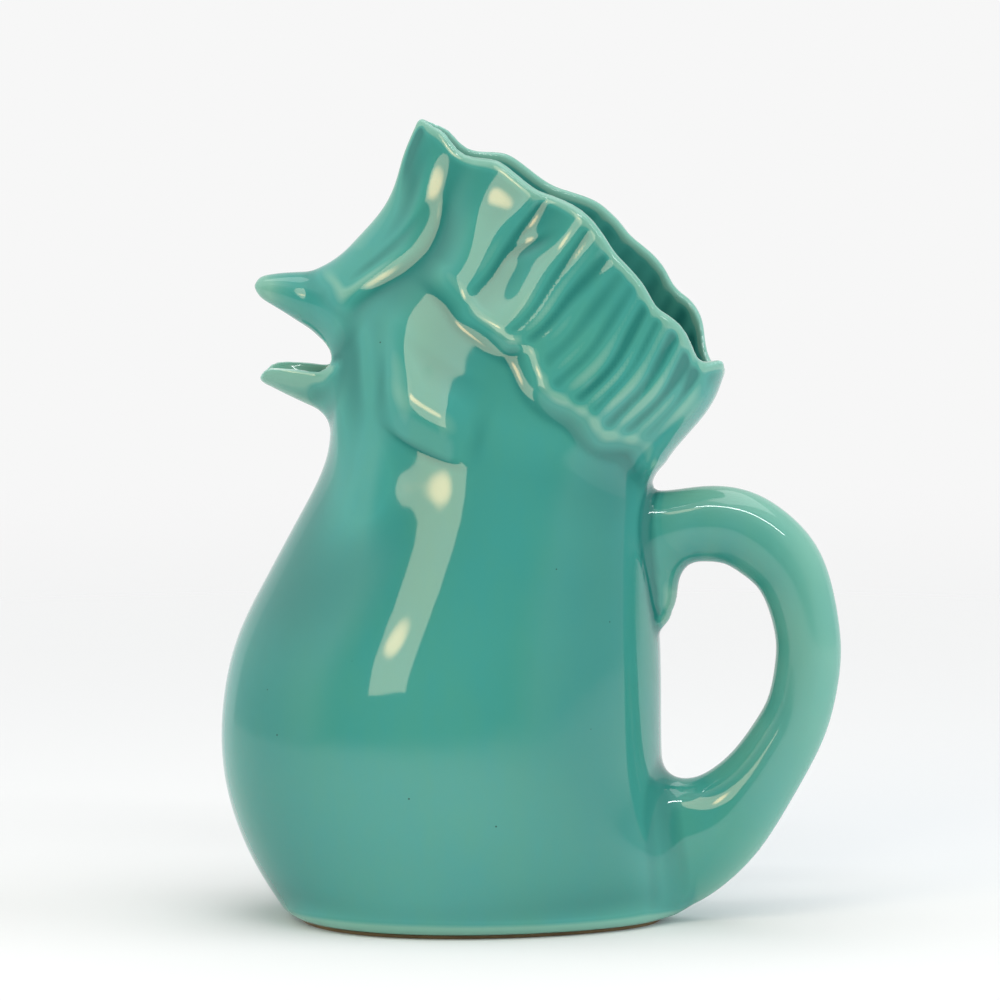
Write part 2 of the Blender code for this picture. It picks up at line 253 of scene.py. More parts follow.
def dense_line(table):
    """A table of (place, value) points as a finely spaced smooth line, with its slope."""
    line = natural_spline(np.array(table), np.linspace(0, len(table) - 1, 900))
    even = np.linspace(-1.0, 1.0, LINE_POINTS)
    value = np.interp(even, line[:, 0], line[:, 1])
    value = np.pad(value, LINE_SOFTEN // 2, mode="edge")
    soft = np.convolve(value, np.ones(LINE_SOFTEN) / LINE_SOFTEN, mode="valid")
    return np.stack([soft, np.gradient(soft, even)])


STATIONS = np.linspace(-0.6, 15.2, 4000)
SECTION_LINES = natural_spline(SECTIONS, STATIONS).T.copy()
SECTION_CLIMB = np.gradient(SECTION_LINES[:4], STATIONS, axis=1)
SECTION_BOTH = np.concatenate([SECTION_LINES[:4], SECTION_CLIMB])
EDGE_LINE = dense_line(COMB_EDGE)
RIM_LINE = dense_line(COMB_RIM)


def between(low, high, table, at):
    """Values of an evenly spaced table's columns at places between low and high."""
    at = (np.clip(at, low, high) - low) * ((table.shape[-1] - 1) / (high - low))
    i = np.minimum(at.astype(np.int64), table.shape[-1] - 2)
    t = at - i
    return table[..., i] * (1 - t) + table[..., i + 1] * t


def along_sections(s, lines):
    """Values of lines of the section table at section number s."""
    return between(STATIONS[0], STATIONS[-1], lines, s)


def ease(value, low, high):
    """0 up to low, 1 from high on, and a soft rise between."""
    t = np.clip((value - low) / (high - low), 0.0, 1.0)
    return t * t * (3.0 - 2.0 * t)


def hump(value, middle, wide):
    """A soft hump, 1 at its middle."""
    off = (value - middle) / wide
    return np.exp(-off * off / 2)


def smooth_union(a, b, fillet):
    """Both solids, with a fillet where they meet."""
    near = np.maximum(fillet - np.abs(a - b), 0.0)
    return np.minimum(a, b) - near * near / (4.0 * fillet)


def smooth_overlap(a, b, radius):
    """What the two solids share, with its edge rounded off."""
    near = np.maximum(radius - np.abs(a - b), 0.0)
    return np.maximum(a, b) + near * near / (4.0 * radius)


# Section number over the mid-plane, every 2 mm, from which find_section starts.
MAP_LOW = (-80.0, -12.0)
MAP_STEP = 2.0
MAP_SIZE = (110, 140)


def section_map():
    """Section numbers on a grid of the mid-plane, found by halving."""
    x = (MAP_LOW[0] + MAP_STEP * np.arange(MAP_SIZE[0]))[:, None]
    z = (MAP_LOW[1] + MAP_STEP * np.arange(MAP_SIZE[1]))[None, :]
    low = np.full(MAP_SIZE, STATIONS[0])
    high = np.full(MAP_SIZE, STATIONS[-1])
    for _ in range(24):
        s = (low + high) / 2
        fx, fz, bx, bz = along_sections(s, SECTION_LINES[:4])
        over = (bx - fx) * (z - fz) > (bz - fz) * (x - fx)
        low = np.where(over, s, low)
        high = np.where(over, high, s)
    return (low + high) / 2


SECTION_MAP = section_map()


def find_section(x, z):
    """Section number, place along it and half its length for points of the mid-plane."""
    x, z = np.broadcast_arrays(x, z)
    u = np.clip((x - MAP_LOW[0]) / MAP_STEP, 0, SECTION_MAP.shape[0] - 1.001)
    v = np.clip((z - MAP_LOW[1]) / MAP_STEP, 0, SECTION_MAP.shape[1] - 1.001)
    i = u.astype(np.int64)
    j = v.astype(np.int64)
    u = u - i
    v = v - j
    s = (SECTION_MAP[i, j] * (1 - u) + SECTION_MAP[i + 1, j] * u) * (1 - v)
    s = s + (SECTION_MAP[i, j + 1] * (1 - u) + SECTION_MAP[i + 1, j + 1] * u) * v
    for _ in range(2):
        fx, fz, bx, bz, gx, gz, hx, hz = along_sections(s, SECTION_BOTH)
        miss = (bx - fx) * (z - fz) - (bz - fz) * (x - fx)
        rate = (hx - gx) * (z - fz) - (hz - gz) * (x - fx) - (bx - fx) * gz + (bz - fz) * gx
        move = np.clip(miss / np.minimum(rate, -1.0), -0.2, 0.2)
        s = np.clip(s - move, STATIONS[0], STATIONS[-1])
    fx, fz, bx, bz = along_sections(s, SECTION_LINES[:4])
    half = np.hypot(bx - fx, bz - fz) / 2
    reach = (x - (fx + bx) / 2) * (bx - fx) + (z - (fz + bz) / 2) * (bz - fz)
    return s, reach / (2 * half * half), half


def oval_distance(a, b, steep_a, steep_b, power=2.0):
    """Distance from an oval: a and b are 1 at its ends and change by steep_a and steep_b per mm."""
    a = np.abs(a)
    ratio = np.sqrt(a**power + b * b + 1e-9)
    steep = np.hypot(power * a ** (power - 1) * steep_a, 2 * b * steep_b)
    return (ratio - 1) * 2 * ratio / (steep + 1e-6)


def height_over(line, s, xi, half):
    """Distance in millimetres above a line drawn round the comb."""
    xi = np.clip(xi, -1, 1)
    value, slope = between(-1.0, 1.0, line, xi)
    fx, fz, bx, bz = along_sections(s, SECTION_CLIMB)
    climb = np.hypot(fx * (1 - xi) + bx * (1 + xi), fz * (1 - xi) + bz * (1 + xi)) / 2
    return (s - value) / np.hypot(1 / climb, slope / half)


def flute_relief(xi, share):
    """Relief of the comb: a low front flute, two broad ones, then ribs, at a share of the way up."""
    t = (np.clip(xi, -1, 1) + 1) / 2
    # The comb is lower at the front than over the cheek.
    relief = 0.6 * ease(t, 0.05, 0.2) - 0.3
    place, lean, depth, before, after = BROAD_GROOVE
    off = t - place - lean * share
    relief = relief - depth * hump(off, 0.0, np.where(off < 0, before, after))
    for place, lean, low, high, wide in GROOVES:
        depth = low + (high - low) * share
        relief = relief - depth * hump(t, place + lean * share, wide)
    place, lean, depth, wide, up, tall = FORK
    return relief - depth * hump(t, place + lean * share, wide) * hump(share, up, tall)


def tube_table(path):
    """A strap's middle line, with its shares of thickness and width, its direction and its bend."""
    line = natural_spline(path, np.linspace(0, len(path) - 1, 400))
    ahead = np.gradient(line[:, :2], axis=0)
    return np.concatenate([line, ahead, np.gradient(ahead, axis=0)], axis=1).T.copy()


# Points more than this far in front of a strap aren't searched, and count as far off.
TUBE_MARGIN = 25.0
TUBE_FAR = 60.0
TUBE_CHUNK = 20000
TUBE_COARSE = 5


def tube_distance(x, y, z, tube, thick, width):
    """Distance from an oval strap that follows a line in the mid-plane."""
    last = tube.shape[1] - 1.0
    shape = np.broadcast(x, z).shape
    flat_x, flat_z = (a.ravel() for a in np.broadcast_arrays(x, z))
    found = np.ones((3, len(flat_x)))
    found[0] = TUBE_FAR
    coarse = tube[:2, ::TUBE_COARSE]
    spots = np.flatnonzero(flat_x > tube[0].min() - TUBE_MARGIN)
    for start in range(0, len(spots), TUBE_CHUNK):
        part = spots[start : start + TUBE_CHUNK]
        px = flat_x[part]
        pz = flat_z[part]
        far = (px[:, None] - coarse[0]) ** 2 + (pz[:, None] - coarse[1]) ** 2
        at = far.argmin(axis=1) * float(TUBE_COARSE)
        for _ in range(3):
            nx, nz, tall, wide, ax, az, cx, cz = between(0.0, last, tube, at)
            miss = (px - nx) * ax + (pz - nz) * az
            pace = ax * ax + az * az
            rate = pace - (px - nx) * cx - (pz - nz) * cz
            move = np.clip(miss / np.maximum(rate, 0.3 * pace), -4, 4)
            at = np.clip(at + move, 0, last)
        nx, nz, tall, wide = between(0.0, last, tube[:4], at)
        found[:, part] = (np.hypot(px - nx, pz - nz), tall * thick / 2, wide * width / 2)
    gap, tall, wide = found.reshape(3, *shape)
    return oval_distance(gap / tall, y / wide, 1 / tall, 1 / wide)


def beak_distance(x, y, z, outline, tip, width, boat):
    """Distance from one half of the beak: a blunt horn, or with `boat` the lower half of one."""
    top, bottom, wide = between(0.0, BEAK_LENGTH, outline, x + tip)
    wide = wide * width / 2
    if boat:
        middle = top
        tall = top - bottom
    else:
        middle = (top + bottom) / 2
        tall = (top - bottom) / 2
    horn = oval_distance((z - middle) / tall, y / wide, 1 / tall, 1 / wide)
    horn = np.maximum(horn, x - HORN_END_X)
    return smooth_overlap(horn, -tip - x, BEAK_TIP_ROUND), top, wide, tall


def beak_table(outline):
    """Top, bottom and share of the width every tenth of a millimetre back from the tip."""
    line = natural_spline(outline, np.linspace(0, len(outline) - 1, 600))[::-1]
    back = np.linspace(0, BEAK_LENGTH, 401)
    return np.stack([np.interp(back, line[:, 0], line[:, c]) for c in (1, 2, 3)])


def lobe_place(s, xi, y, width, lobe):
    """Place on the skin seen from a lobe: along it and across it, each 1 at its outline."""
    s0, xi0, tilt, length, wide = lobe[:5]
    turn = np.arctan2(np.abs(y) / width, -xi)
    turn0 = math.acos(-xi0)
    fx, fz, bx, bz = along_sections(np.float64(s0), SECTION_CLIMB)
    climb = math.hypot(fx * (1 - xi0) + bx * (1 + xi0), fz * (1 - xi0) + bz * (1 + xi0)) / 2
    half0 = np.interp(s0, STATIONS, np.hypot(*(SECTION_LINES[2:4] - SECTION_LINES[:2])) / 2)
    width0 = np.interp(s0, STATIONS, SECTION_LINES[4])
    arc = math.hypot(half0 * math.sin(turn0), width0 * math.cos(turn0))
    down = (s0 - s) * climb
    over = (turn - turn0) * arc
    u = (down * math.cos(tilt) + over * math.sin(tilt)) / (length / 2)
    v = (over * math.cos(tilt) - down * math.sin(tilt)) / (wide / 2)
    return u, v


def pressed_lobe(s, xi, y, width, lobe):
    """How far a soft lobe stands out, and its own place: 0 at its outline, less inside."""
    u, v = lobe_place(s, xi, y, width, lobe)
    return lobe[5] * np.exp(-2.0 * (u * u + v * v)), (np.hypot(u, v) - 0.75) * lobe[4] / 2


def folded_lobe(s, xi, y, width, lobe):
    """The same for a lobe that ends below in a fold and runs out softly above."""
    u, v = lobe_place(s, xi, y, width, lobe)
    hang = v - 0.5 * u * u
    rise = np.sin(np.pi / 2 * np.clip((hang + 1.0) / 4.0, 0, 1)) * (1 - ease(hang, 1.5, 7.0))
    rise = rise * (1 - ease(np.abs(u), 0.3, 1.15))
    ends = (np.abs(u) - 1.3) * lobe[3] / 2
    return lobe[5] * rise, np.maximum(ends, (np.abs(v - 0.6) - 2.1) * lobe[4] / 2)


UPPER_BEAK_TABLE = beak_table(UPPER_BEAK)
LOWER_BEAK_TABLE = beak_table(LOWER_BEAK)
HANDLE_TUBE = tube_table(HANDLE_LINE)
THUMB_TUBE = tube_table(THUMB_LINE)


def jug_field(x, y, z, size):
    """The jug's skin and each piece's own part of space, as distances that are less than 0 inside."""
    s, xi, half = find_section(x, z)
    width, taper, power = along_sections(s, SECTION_LINES[4:])
    width = width * (1 + taper * np.clip(xi, -1.2, 1.2))
    power = np.where(xi < 0, 1.3 + 0.35 * power, power)
    wall = oval_distance(xi, y / width, 1 / half, 1 / width, power)

    over_edge = height_over(EDGE_LINE, s, xi, half)
    over_rim = height_over(RIM_LINE, s, xi, half)
    # Modelled by hand, the far rim is lower or higher than the near one by a few millimetres.
    far = 1.3 * hump(xi, -0.1, 0.2) - 1.2 * hump(xi, 0.45, 0.18) + 2.6 * ease(xi, 0.7, 0.95)
    near = 3.0 * ease(-y, 0.0, 8.0) * ease(xi, 0.85, 1.0)
    over_rim = over_rim + far * ease(y, 0.0, 12.0) - near
    share = np.clip(over_edge / np.maximum(over_edge - over_rim, 1.0), 0, 1)
    relief = flute_relief(xi, share) * ease(over_edge, 0.0, 14.0)
    # A faint bead of slip runs along the lower edge over the ribs.
    bead = 0.15 * hump(over_edge, 3.8, 2.2) * ease(xi, -0.5, -0.1)
    # Behind the front flute the comb runs out level with the cheek.
    level = hump(xi, -0.66, 0.085)
    # Slip in the seam takes up a quarter of the overhang.
    proud = 0.75 * size.comb_proud * (1 - ease(share, 0.15, 1.0))
    proud = proud * (1 - 0.9 * level)

    wattle, in_wattle = pressed_lobe(s, xi, y, width, WATTLE)
    lobe, in_lobe = folded_lobe(s, xi, y, width, EAR_LOBE)
    body = wall - wattle - lobe
    for swell in SWELLS:
        body = body - pressed_lobe(s, xi, y, width, swell)[0]

    upper = beak_distance(x, y, z, UPPER_BEAK_TABLE, UPPER_BEAK_TIP, size.beak_width, False)[0]
    lower, lip, wide, tall = beak_distance(
        x, y, z, LOWER_BEAK_TABLE, LOWER_BEAK_TIP, size.beak_width, True
    )
    lower = smooth_overlap(lower, z - lip, TROUGH_ROUND)
    dish = oval_distance(
        (z - lip) / np.minimum(size.trough_depth, tall * 0.62),
        y / np.maximum(wide - size.trough_lip, wide * 0.5),
        1 / size.trough_depth,
        1 / wide,
    )
    dish = np.maximum(dish, -LOWER_BEAK_TIP + TROUGH_FROM_TIP - x)
    dish = np.maximum(np.maximum(dish, x - TROUGH_END_X), z - size.mouth_z - 3.0)

    handle = tube_distance(x, y, z, HANDLE_TUBE, size.handle_thick, size.handle_width)
    thumb = tube_distance(x, y, z, THUMB_TUBE, size.handle_thick, size.handle_width)

    # The comb's lower edge is a soft step, as slip fills the seam.
    outer = body - (proud + bead) * ease(over_edge, -3.5, 5.5) - relief
    outer = smooth_union(outer, upper, UPPER_BEAK_FILLET)
    outer = smooth_union(outer, lower, LOWER_BEAK_FILLET)
    root = LOWER_ROOT_FILLET - (LOWER_ROOT_FILLET - UPPER_ROOT_FILLET) * ease(z, 45.0, 95.0)
    outer = smooth_union(outer, handle, root)
    outer = smooth_union(outer, thumb, THUMB_FILLET)

    # Inside, the hollow follows the flutes more softly.
    thick = np.interp(s, WALL_THINS, (size.wall, size.comb_wall))
    cavity = wall + thick - 0.6 * relief * np.clip(over_edge / 10.0, 0, 1)
    cavity = smooth_overlap(cavity, size.base_z + size.floor - z, FLOOR_ROUND)
    mouth = oval_distance(
        (z - size.mouth_z) / (size.mouth_height / 2),
        y / (size.mouth_width / 2),
        2 / size.mouth_height,
        2 / size.mouth_width,
    )
    mouth = np.maximum(mouth, x - MOUTH_END_X)

    skin = smooth_overlap(outer, -cavity, INNER_ROUND)
    skin = smooth_overlap(skin, over_rim, RIM_ROUND)
    skin = smooth_overlap(skin, size.base_z - z, BASE_ROUND)
    skin = smooth_overlap(skin, -dish, TROUGH_ROUND)
    skin = smooth_overlap(skin, -mouth, MOUTH_ROUND)

    deep = -wall - 1.0
    # Adding nothing of y gives each space the shape of the whole grid.
    grid_z = z + 0.0 * y
    own = {
        "wattle": np.maximum(np.maximum(in_wattle, -in_lobe), deep),
        "ear_lobe": np.maximum(in_lobe, deep),
        "upper_beak": np.maximum(x - BEAK_ROOT_X, UPPER_BEAK_LOW_Z - grid_z),
        "lower_beak": np.maximum(
            x - BEAK_ROOT_X, np.abs(grid_z - LOWER_BEAK_MIDDLE_Z) - LOWER_BEAK_REACH
        ),
        "handle": np.maximum(HANDLE_ROOT_X - x, grid_z - HANDLE_TOP_Z),
    }
    added = np.minimum.reduce(list(own.values()))
    above = -over_edge - 1.5
    own["comb_collar"] = np.maximum(above, -added)
    own["body_shell"] = -np.minimum(added, above)
    return skin, own


def piece_field(points, size, piece, side):
    """Distance from one piece: its own stretch of the skin, lapped thinly under its neighbours'."""
    x, y, z = points
    skin, own = jug_field(x, y, z, size)
    space = own[piece]
    if side:
        space = np.maximum(space, -side * y)
    feather = np.maximum(space / LAP, 0.0)
    return np.maximum(skin + LAP_SINK * feather * (1 + feather), space - LAP)


CORNERS = np.array([(i, j, k) for i in (0, 1) for j in (0, 1) for k in (0, 1)])
CELL_EDGES = [
    (a, b) for a in range(8) for b in range(a + 1, 8) if abs(CORNERS[a] - CORNERS[b]).sum() == 1
]


def net_surface(values, low, step):
    """Quads round the solid where values are less than 0, with one point per cell crossed."""
    inside = values < 0
    shape = np.array(values.shape) - 1
    window = [tuple(slice(c, c + n) for c, n in zip(corner, shape)) for corner in CORNERS]
    count = sum(inside[w].astype(np.int8) for w in window)
    cells = np.argwhere((count > 0) & (count < 8))
    number = np.full(shape, -1)
    number[tuple(cells.T)] = np.arange(len(cells))
    held = np.stack([values[w][tuple(cells.T)] for w in window], axis=1)
    total = np.zeros((len(cells), 3))
    crossings = np.zeros((len(cells), 1))
    for a, b in CELL_EDGES:
        crossed = (held[:, a] < 0) != (held[:, b] < 0)
        t = held[crossed, a] / (held[crossed, a] - held[crossed, b])
        total[crossed] += CORNERS[a] + t[:, None] * (CORNERS[b] - CORNERS[a])
        crossings[crossed] += 1
    points = low + (cells + total / crossings) * step
    quads = []
    for axis in range(3):
        first = np.take(inside, range(values.shape[axis] - 1), axis)
        second = np.take(inside, range(1, values.shape[axis]), axis)
        spot = np.argwhere(first != second)
        u, v = (axis + 1) % 3, (axis + 2) % 3
        within = (spot[:, u] > 0) & (spot[:, v] > 0)
        within = within & (spot[:, u] < shape[u]) & (spot[:, v] < shape[v])
        spot = spot[within]
        ring = []
        for du, dv in ((-1, -1), (0, -1), (0, 0), (-1, 0)):
            cell = spot.copy()
            cell[:, u] += du
            cell[:, v] += dv
            ring.append(number[tuple(cell.T)])
        ring = np.stack(ring, axis=1)
        turn = ~first[tuple(spot.T)]
        ring[turn] = ring[turn][:, ::-1]
        quads.append(ring)
    return points, np.concatenate(quads)


def skin_slope(field, points, reach):
    """Value and slope of a field at points, and its bend (the sum of the two curvatures)."""
    value = field(points.T)
    slope = np.zeros_like(points)
    bend = -6.0 * value
    for axis in range(3):
        move = np.zeros(3)
        move[axis] = reach
        ahead = field((points + move).T)
        behind = field((points - move).T)
        slope[:, axis] = (ahead - behind) / (2 * reach)
        bend = bend + ahead + behind
    unit = reach * slope / (np.linalg.norm(slope, axis=1, keepdims=True) + 1e-9)
    along = field((points + unit).T) + field((points - unit).T) - 2.0 * value
    return value, slope, (bend - along) / reach**2


def rough_slope(field, points, reach):
    """Value and slope of a field at points, from one side only."""
    value = field(points.T)
    moves = np.eye(3) * reach
    return value, np.stack([field((points + move).T) - value for move in moves], axis=1) / reach


# A mesh is evened out this many times and drawn onto the skin after each, and once more.
EVEN_TURNS = 2

# Reach over which the skin's slope and bend are measured: fine for edges, broad for ridges.
FIT_REACH = 0.2
FINE_REACH = 0.5
BROAD_REACH = 2.5


def fitted_net(name, field, low, high, step):
    """Points and quads of a field's surface, evened out and drawn onto it."""
    low = np.array(low, float)
    counts = np.ceil((np.array(high) - low) / step).astype(int) + 1
    axes = [low[a] + np.arange(counts[a]) * step for a in range(3)]
    grid = (axes[0][:, None, None], axes[1][None, :, None], axes[2][None, None, :])
    points, quads = net_surface(field(grid), low, step)
    if not len(quads):
        raise RuntimeError(f"{name} has no surface")
    links = np.concatenate([quads[:, [i, (i + 1) % 4]] for i in range(4)])
    links = np.concatenate([links, links[:, ::-1]])
    degree = np.bincount(links[:, 0], minlength=len(points))[:, None]
    for turn in range(EVEN_TURNS + 1):
        if turn < EVEN_TURNS:
            ends = points[links[:, 1]]
            sums = [np.bincount(links[:, 0], ends[:, a], len(points)) for a in range(3)]
            points = points + 0.5 * (np.stack(sums, axis=1) / degree - points)
        value, slope = rough_slope(field, points, FIT_REACH)
        push = value[:, None] * slope / ((slope**2).sum(1, keepdims=True) + 1e-6)
        points = points - np.clip(push, -0.6 * step, 0.6 * step)
    return points, quads


def make_piece(name, piece, side, low, high, step, size, material):
    """One piece of the jug's skin, put on the frame in the place of its solid."""

    def field(points):
        return piece_field(points, size, piece, side)

    def skin(points):
        return jug_field(*points, size)[0]

    points, quads = fitted_net(name, field, low, high, step)
    _, slope, _ = skin_slope(field, points, FINE_REACH)
    off, plain, bend = skin_slope(skin, points, FINE_REACH)
    # On the jug's own skin the shading follows it across the joints.
    slope = np.where(np.abs(off)[:, None] < 0.4, plain, slope)
    steep = np.linalg.norm(slope, axis=1, keepdims=True) + 1e-9
    # The glaze is wiped back at the foot, so it doesn't break pale there.
    bend = bend * ease(points[:, 2], 3.0, 9.0)
    _, _, broad = skin_slope(skin, points, BROAD_REACH)
    # Painted light: the lower half of the beak is made paler, for the white table it mirrors and the
    # light thrown up from it, and the upper half a little deeper.
    ahead = ease(-points[:, 0], 30.0, 44.0) * ease(points[:, 2], 134.0, 146.0)
    broad = broad + ahead * np.where(points[:, 2] < 172.0, 0.22, -0.1)
    mesh = bpy.data.meshes.new(name)
    mesh.from_pydata(((points + (AXIS_X, 0.0, 0.0)) * MM).tolist(), [], quads.tolist())
    mesh.shade_smooth()
    mesh.normals_split_custom_set_from_vertices((slope / steep).tolist())
    for word, bends in (("bend", bend), ("broad_bend", broad)):
        stored = mesh.attributes.new(word, "FLOAT", "POINT")
        stored.data.foreach_set("value", np.clip(bends / steep[:, 0], -2, 2))
    mesh.materials.append(material)
    made = bpy.data.objects.new(name, mesh)
    bpy.context.scene.collection.objects.link(made)
    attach(made, "root")
    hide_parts(piece if not side else f"{piece}_{'left' if side < 0 else 'right'}")


def linear(code):
    """Linear colour of an sRGB hex value."""
    parts = [int(code[i : i + 2], 16) / 255 for i in (1, 3, 5)]
    return [c / 12.92 if c <= 0.04045 else ((c + 0.055) / 1.055) ** 2.4 for c in parts] + [1.0]


def node(tree, kind, links=None, **settings):
    """Adds a node with its settings; links maps an input to a value or to another node's output."""
    made = tree.nodes.new(kind)
    for word, value in settings.items():
        setattr(made, word, value)
    for socket, value in (links or {}).items():
        target = made.inputs[socket]
        if isinstance(value, bpy.types.NodeSocket):
            tree.links.new(value, target)
        else:
            target.default_value = value
    return made


# A colour Mix node's sockets: the share, the two colours and the result.
MIX_SHARE, MIX_FROM, MIX_TO, MIX_RESULT = 0, 6, 7, 2

GLAZE = "poured_turquoise_glaze"
CLAY = "wiped_bare_earthenware"


def new_material(name):
    """An empty node material and its output node."""
    material = bpy.data.materials.new(name)
    material.use_nodes = True
    tree = material.node_tree
    tree.nodes.clear()
    return material, tree, node(tree, "ShaderNodeOutputMaterial")


def glaze_material(colours):
    """Turquoise earthenware glaze, poured and fired glossy over a slip-cast body.

    It breaks pale where it runs thin over edges, pools deeper in hollows, where painted shade is
    added too, and has soft mottling and a few pinholes. A near-white painted highlight lies on the
    beak tips and sharp corners, and the lower half of the beak is painted paler for the light of the
    white table it mirrors. The skin is very smooth, so it mirrors the window and the table.
    """
    material, tree, output = new_material(GLAZE)
    place = node(tree, "ShaderNodeTexCoord").outputs["Object"]
    bend = node(tree, "ShaderNodeAttribute", attribute_name="bend").outputs["Fac"]
    broad = node(tree, "ShaderNodeAttribute", attribute_name="broad_bend").outputs["Fac"]
    # Clouds in the glaze are about 20 mm across and drawn out downwards, as it ran in the kiln.
    drawn = node(tree, "ShaderNodeMapping", {"Vector": place, "Scale": (1.0, 1.0, 0.4)})
    clouds = node(
        tree,
        "ShaderNodeTexNoise",
        {"Vector": drawn.outputs["Vector"], "Scale": 1 / 0.02, "Detail": 4.0, "Roughness": 0.6},
    ).outputs["Fac"]
    # Pinholes are about 0.6 mm across, where points scattered 15 mm apart happen to lie in the skin.
    scatter = {"Vector": place, "Scale": 1 / 0.015}
    holes = node(tree, "ShaderNodeTexVoronoi", scatter).outputs["Distance"]
    # Each colour covers the last ones where its value goes from the first number to the second.
    # Beak tips and sharp corners get a near-white painted highlight.
    layers = (
        (clouds, 0.35, 0.65, colours.glaze_green),
        # Partly real pooled glaze, partly painted shade: hollows, valleys and the seam under the
        # comb's edge are darkened where shade falls.
        (broad, 0.015, -0.12, colours.glaze_pool_and_shade),
        (broad, 0.055, 0.15, colours.glaze_crest),
        (bend, 0.6, 1.8, colours.glaze_thin),
        # Painted highlight on the sharpest edges and the beak tips.
        (bend, 1.1, 2.2, colours.painted_tip_highlight),
        (holes, 0.022, 0.016, linear("#1d4f49")),
    )
    base = colours.glaze
    for value, start, full, tint in layers:
        limits = {"Value": value, "From Min": start, "From Max": full}
        share = node(tree, "ShaderNodeMapRange", limits)
        base = node(
            tree,
            "ShaderNodeMix",
            {MIX_SHARE: share.outputs["Result"], MIX_FROM: base, MIX_TO: tint},
            data_type="RGBA",
        ).outputs[MIX_RESULT]
    # Ripples in the fired skin are about 9 mm long.
    ripple = node(
        tree, "ShaderNodeTexNoise", {"Vector": place, "Scale": 1 / 0.009, "Detail": 1.0}
    ).outputs["Fac"]
    bump = node(
        tree, "ShaderNodeBump", {"Height": ripple, "Strength": 1.0, "Distance": 0.00003}
    ).outputs["Normal"]
    shader = node(
        tree,
        "ShaderNodeBsdfPrincipled",
        {"Base Color": base, "Roughness": 0.05, "IOR": 1.6, "Normal": bump},
    )
    tree.links.new(shader.outputs["BSDF"], output.inputs["Surface"])
    return material


def clay_material(colours):
    """Bare earthenware, wiped clean of glaze before firing: matt, sandy and slightly stained."""
    material, tree, output = new_material(CLAY)
    place = node(tree, "ShaderNodeTexCoord").outputs["Object"]
    # Stains are about 12 mm across and grit about 0.8 mm.
    stain = node(
        tree, "ShaderNodeTexNoise", {"Vector": place, "Scale": 1 / 0.012, "Detail": 4.0}
    ).outputs["Fac"]
    grit = node(
        tree, "ShaderNodeTexNoise", {"Vector": place, "Scale": 1 / 0.0008, "Detail": 2.0}
    ).outputs["Fac"]
    base = node(
        tree,
        "ShaderNodeMix",
        {MIX_SHARE: stain, MIX_FROM: colours.clay, MIX_TO: colours.clay_stain},
        data_type="RGBA",
    ).outputs[MIX_RESULT]
    bump = node(
        tree, "ShaderNodeBump", {"Height": grit, "Strength": 0.6, "Distance": 0.0002}
    ).outputs["Normal"]
    shader = node(
        tree,
        "ShaderNodeBsdfPrincipled",
        {"Base Color": base, "Roughness": 0.82, "IOR": 1.5, "Normal": bump},
    )
    tree.links.new(shader.outputs["BSDF"], output.inputs["Surface"])
    return material


def length(name, description, default):
    """A length property, shown in scene units."""
    return bpy.props.FloatProperty(
        name=name, description=description, default=default * MM, unit="LENGTH"
    )


def colour(name, description, code):
    """A colour property from an sRGB hex value."""
    return bpy.props.FloatVectorProperty(
        name=name,
        description=description,
        default=linear(code),
        size=4,
        subtype="COLOR",
        min=0.0,
        max=1.0,
    )


class JugSizes(bpy.types.PropertyGroup):
    """Sizes of the jug that can change without redrawing its outline."""

    wall: length("Wall", "Thickness of the cast wall", 4.5)
    floor: length("Floor", "Thickness of the floor", 5.0)
    comb_wall: length("Comb wall", "Thickness of the comb at its rim", 3.8)
    comb_proud: length("Comb overhang", "How far the comb's lower edge stands out from the head", 2.6)
    beak_width: length("Beak width", "Width of the beak where it leaves the head", 19.0)
    trough_lip: length("Trough lip", "Thickness of the lower beak's side", 1.9)
    trough_depth: length("Trough depth", "Depth of the channel in the lower beak", 7.0)
    mouth_z: length("Mouth height", "Height of the pouring hole over the table", 166.7)
    mouth_height: length("Mouth opening", "Height of the pouring hole itself", 11.0)
    mouth_width: length("Mouth width", "Width of the pouring hole", 14.0)
    handle_thick: length("Handle thickness", "Thickness of the handle in the mid-plane", 20.4)
    handle_width: length("Handle width", "Width of the handle across the mid-plane", 19.0)
    foot_height: length("Foot height", "Height of the bare foot", 1.0)
    foot_inset: length("Foot inset", "How far the foot stands inside the glazed edge", 3.4)
    foot_width: length("Foot width", "Width of the foot ring", 6.6)
    base_z: length("Base height", "Height of the glazed edge over the table", 1.2)


class JugColours(bpy.types.PropertyGroup):
    """Colours of the glaze and the clay."""

    glaze: colour("Glaze", "Turquoise of the glaze", "#40978f")
    glaze_green: colour("Glaze clouds", "Greener clouds in the glaze", "#469889")
    # Real pooled glaze colour, also used as painted shade in hollows and under the comb's edge.
    glaze_pool_and_shade: colour("Pooled glaze", "Deep colour where the glaze pools", "#27776f")
    glaze_crest: colour("Glaze on crests", "Lighter colour where it lies over a ridge", "#74ad9b")
    # A near-white painted highlight for the beak tips and sharp corners.
    painted_tip_highlight: colour("Beak tips", "Glaze nearly gone at the beak tips", "#dff0ea")
    glaze_thin: colour("Thin glaze", "Pale colour where the glaze runs off an edge", "#98cec3")
    clay: colour("Clay", "Bare clay of the foot", "#8a7350")
    clay_stain: colour("Stained clay", "Darker stains on the foot", "#57462f")


def sizes_mm(context):
    """The jug's sizes in millimetres."""
    group = context.scene.jug_sizes
    return SimpleNamespace(**{word: getattr(group, word) / MM for word in JugSizes.__annotations__})


def finish_of(name, maker, context):
    """The named finish, made on first use."""
    kept = bpy.data.materials.get(name)
    return kept or maker(context.scene.jug_colours)


